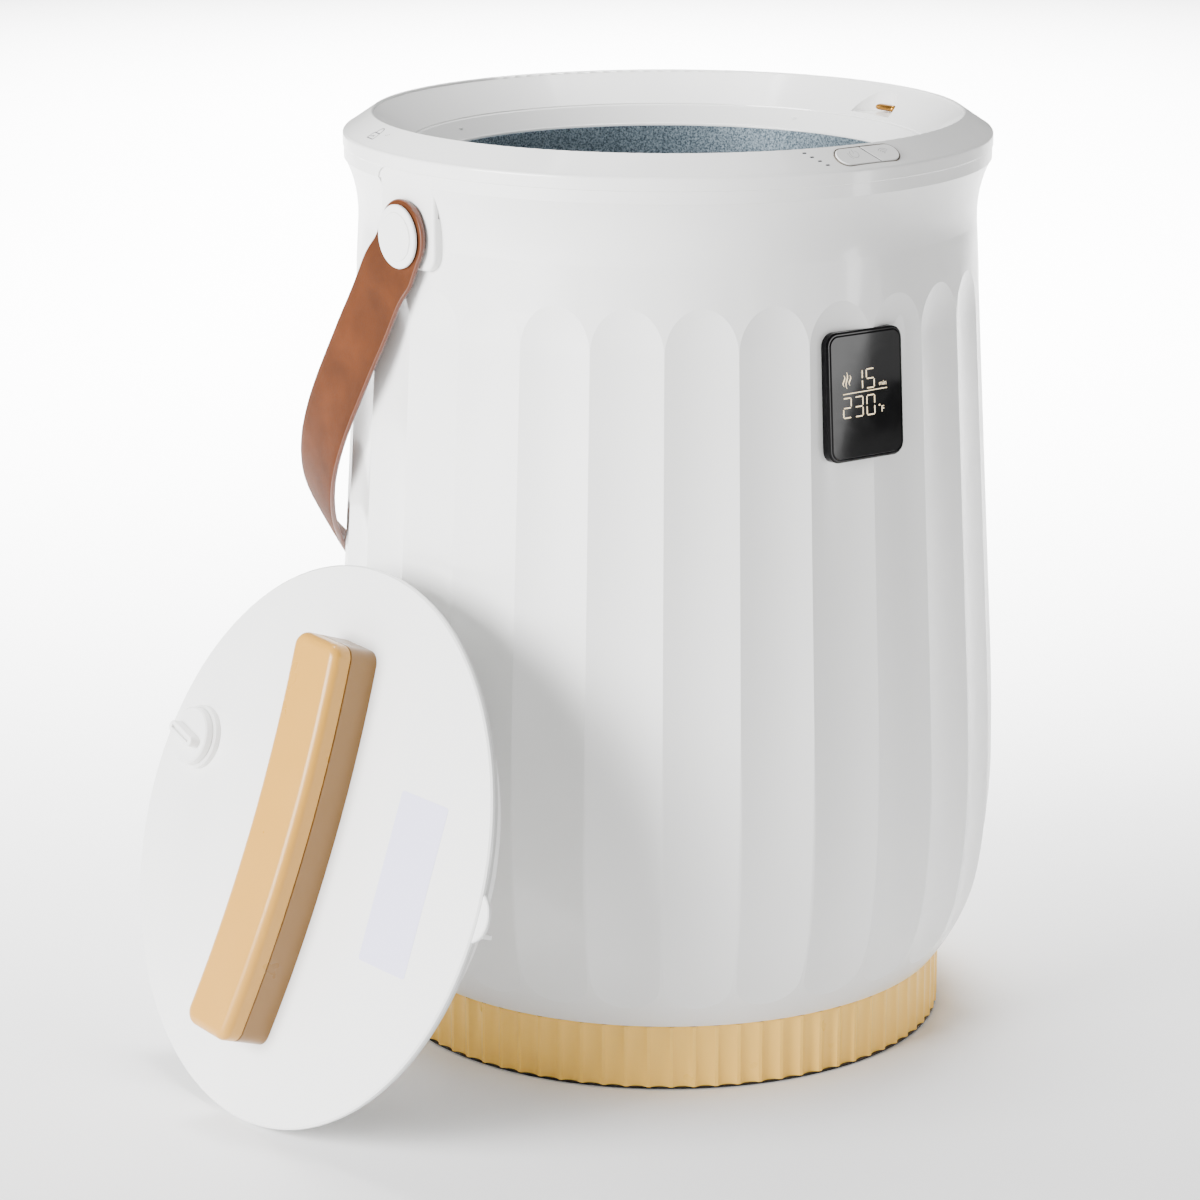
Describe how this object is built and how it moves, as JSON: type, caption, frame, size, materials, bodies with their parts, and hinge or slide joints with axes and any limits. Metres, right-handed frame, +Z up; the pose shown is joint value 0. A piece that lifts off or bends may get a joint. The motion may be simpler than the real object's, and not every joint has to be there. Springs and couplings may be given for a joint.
{
  "type": "towel warmer bucket",
  "caption": "Fluted bucket-shaped towel warmer with a heated pot, a lift-off lid with a crescent handle and lock knob, a digital display and a leather strap handle.",
  "frame": {"origin": "centre of the body's base, on the floor it stands on", "axes": "+Z up along the body's axis, -Y towards the display, X along the line of the strap's two pivots; the lid leans on the body's -X side"},
  "size_m": [0.436, 0.3524, 0.4443],
  "materials": {
    "white_plastic": "glossy moulded ABS",
    "beige_plastic": "satin moulded ABS",
    "coated_pot": "hammered non-stick coating",
    "light_pipe": "translucent light pipe",
    "silicone": "matt silicone",
    "steel": "plain steel",
    "heater_foil": "foil heater",
    "insulation": "fibre felt",
    "black_plastic": "black moulded plastic",
    "rubber": "matt rubber",
    "circuit_board": "solder mask",
    "display_window": "polished dark window",
    "bezel_plastic": "tinted moulded trim",
    "brass": "turned brass",
    "leather": "grained leather with painted edges"
  },
  "bodies": {
    "bucket": {"outer_shell": "white_plastic", "top_collar": "white_plastic", "rim_lights": "light_pipe", "inner_barrel": "coated_pot", "barrel_gasket": "silicone", "barrel_screws": "steel", "heater_band": "heater_foil", "heater_clip": "steel", "insulation_sleeve": "insulation", "thermostat": "black_plastic", "base_skirt": "beige_plastic", "base_plate": "black_plastic", "rubber_feet": "rubber", "base_screws": "steel", "control_board": "circuit_board", "cord_gland": "black_plastic", "display_frame": "black_plastic", "display_glass": "display_window", "display_board": "circuit_board", "button_bezel": "bezel_plastic", "button_board": "circuit_board", "switch_housing": "black_plastic", "pivot_studs": "steel", "pivot_washers": "white_plastic", "pivot_cap_right": "white_plastic", "pivot_cap_left": "white_plastic"},
    "lid": {"lid_cover": "white_plastic", "lid_pan": "white_plastic", "lid_core": "insulation", "lid_gasket": "silicone", "lid_lug": "white_plastic", "handle_base": "beige_plastic", "handle_cap": "beige_plastic", "handle_screws": "steel", "knob_ring": "white_plastic"},
    "lock": {"lock_knob": "white_plastic", "latch_tongue": "white_plastic", "latch_screw": "steel"},
    "strap": {"strap_handle": "leather"},
    "power_key": {"power_button": "white_plastic"},
    "temperature_key": {"temperature_button": "white_plastic"},
    "switch_pin": {"switch_plunger": "brass"}
  },
  "joints": [
    {"name": "lid_lift", "type": "slide", "parent": "bucket", "child": "lid", "axis": [-0.5, 0, 0.866], "range_m": [0, 0.2]},
    {"name": "lock_turn", "type": "hinge", "parent": "lid", "child": "lock", "pos_m": [-0.21435, 0.08687, 0.15054], "axis": [-0.9446, -0.0181, 0.3277], "range_deg": [0, 90]},
    {"name": "strap_swing", "type": "hinge", "parent": "bucket", "child": "strap", "pos_m": [0, 0, 0.399], "axis": [1, 0, 0], "range_deg": [0, 283]},
    {"name": "power_press", "type": "slide", "parent": "bucket", "child": "power_key", "axis": [0.0069, 0.562, -0.8271], "range_m": [0, 0.0007], "stiffness_N_per_m": 600},
    {"name": "temperature_press", "type": "slide", "parent": "bucket", "child": "temperature_key", "axis": [0.0069, 0.562, -0.8271], "range_m": [0, 0.0007], "stiffness_N_per_m": 600},
    {"name": "pin_press", "type": "slide", "parent": "bucket", "child": "switch_pin", "axis": [0, 1, 0], "range_m": [0, 0.004], "stiffness_N_per_m": 150}
  ]
}
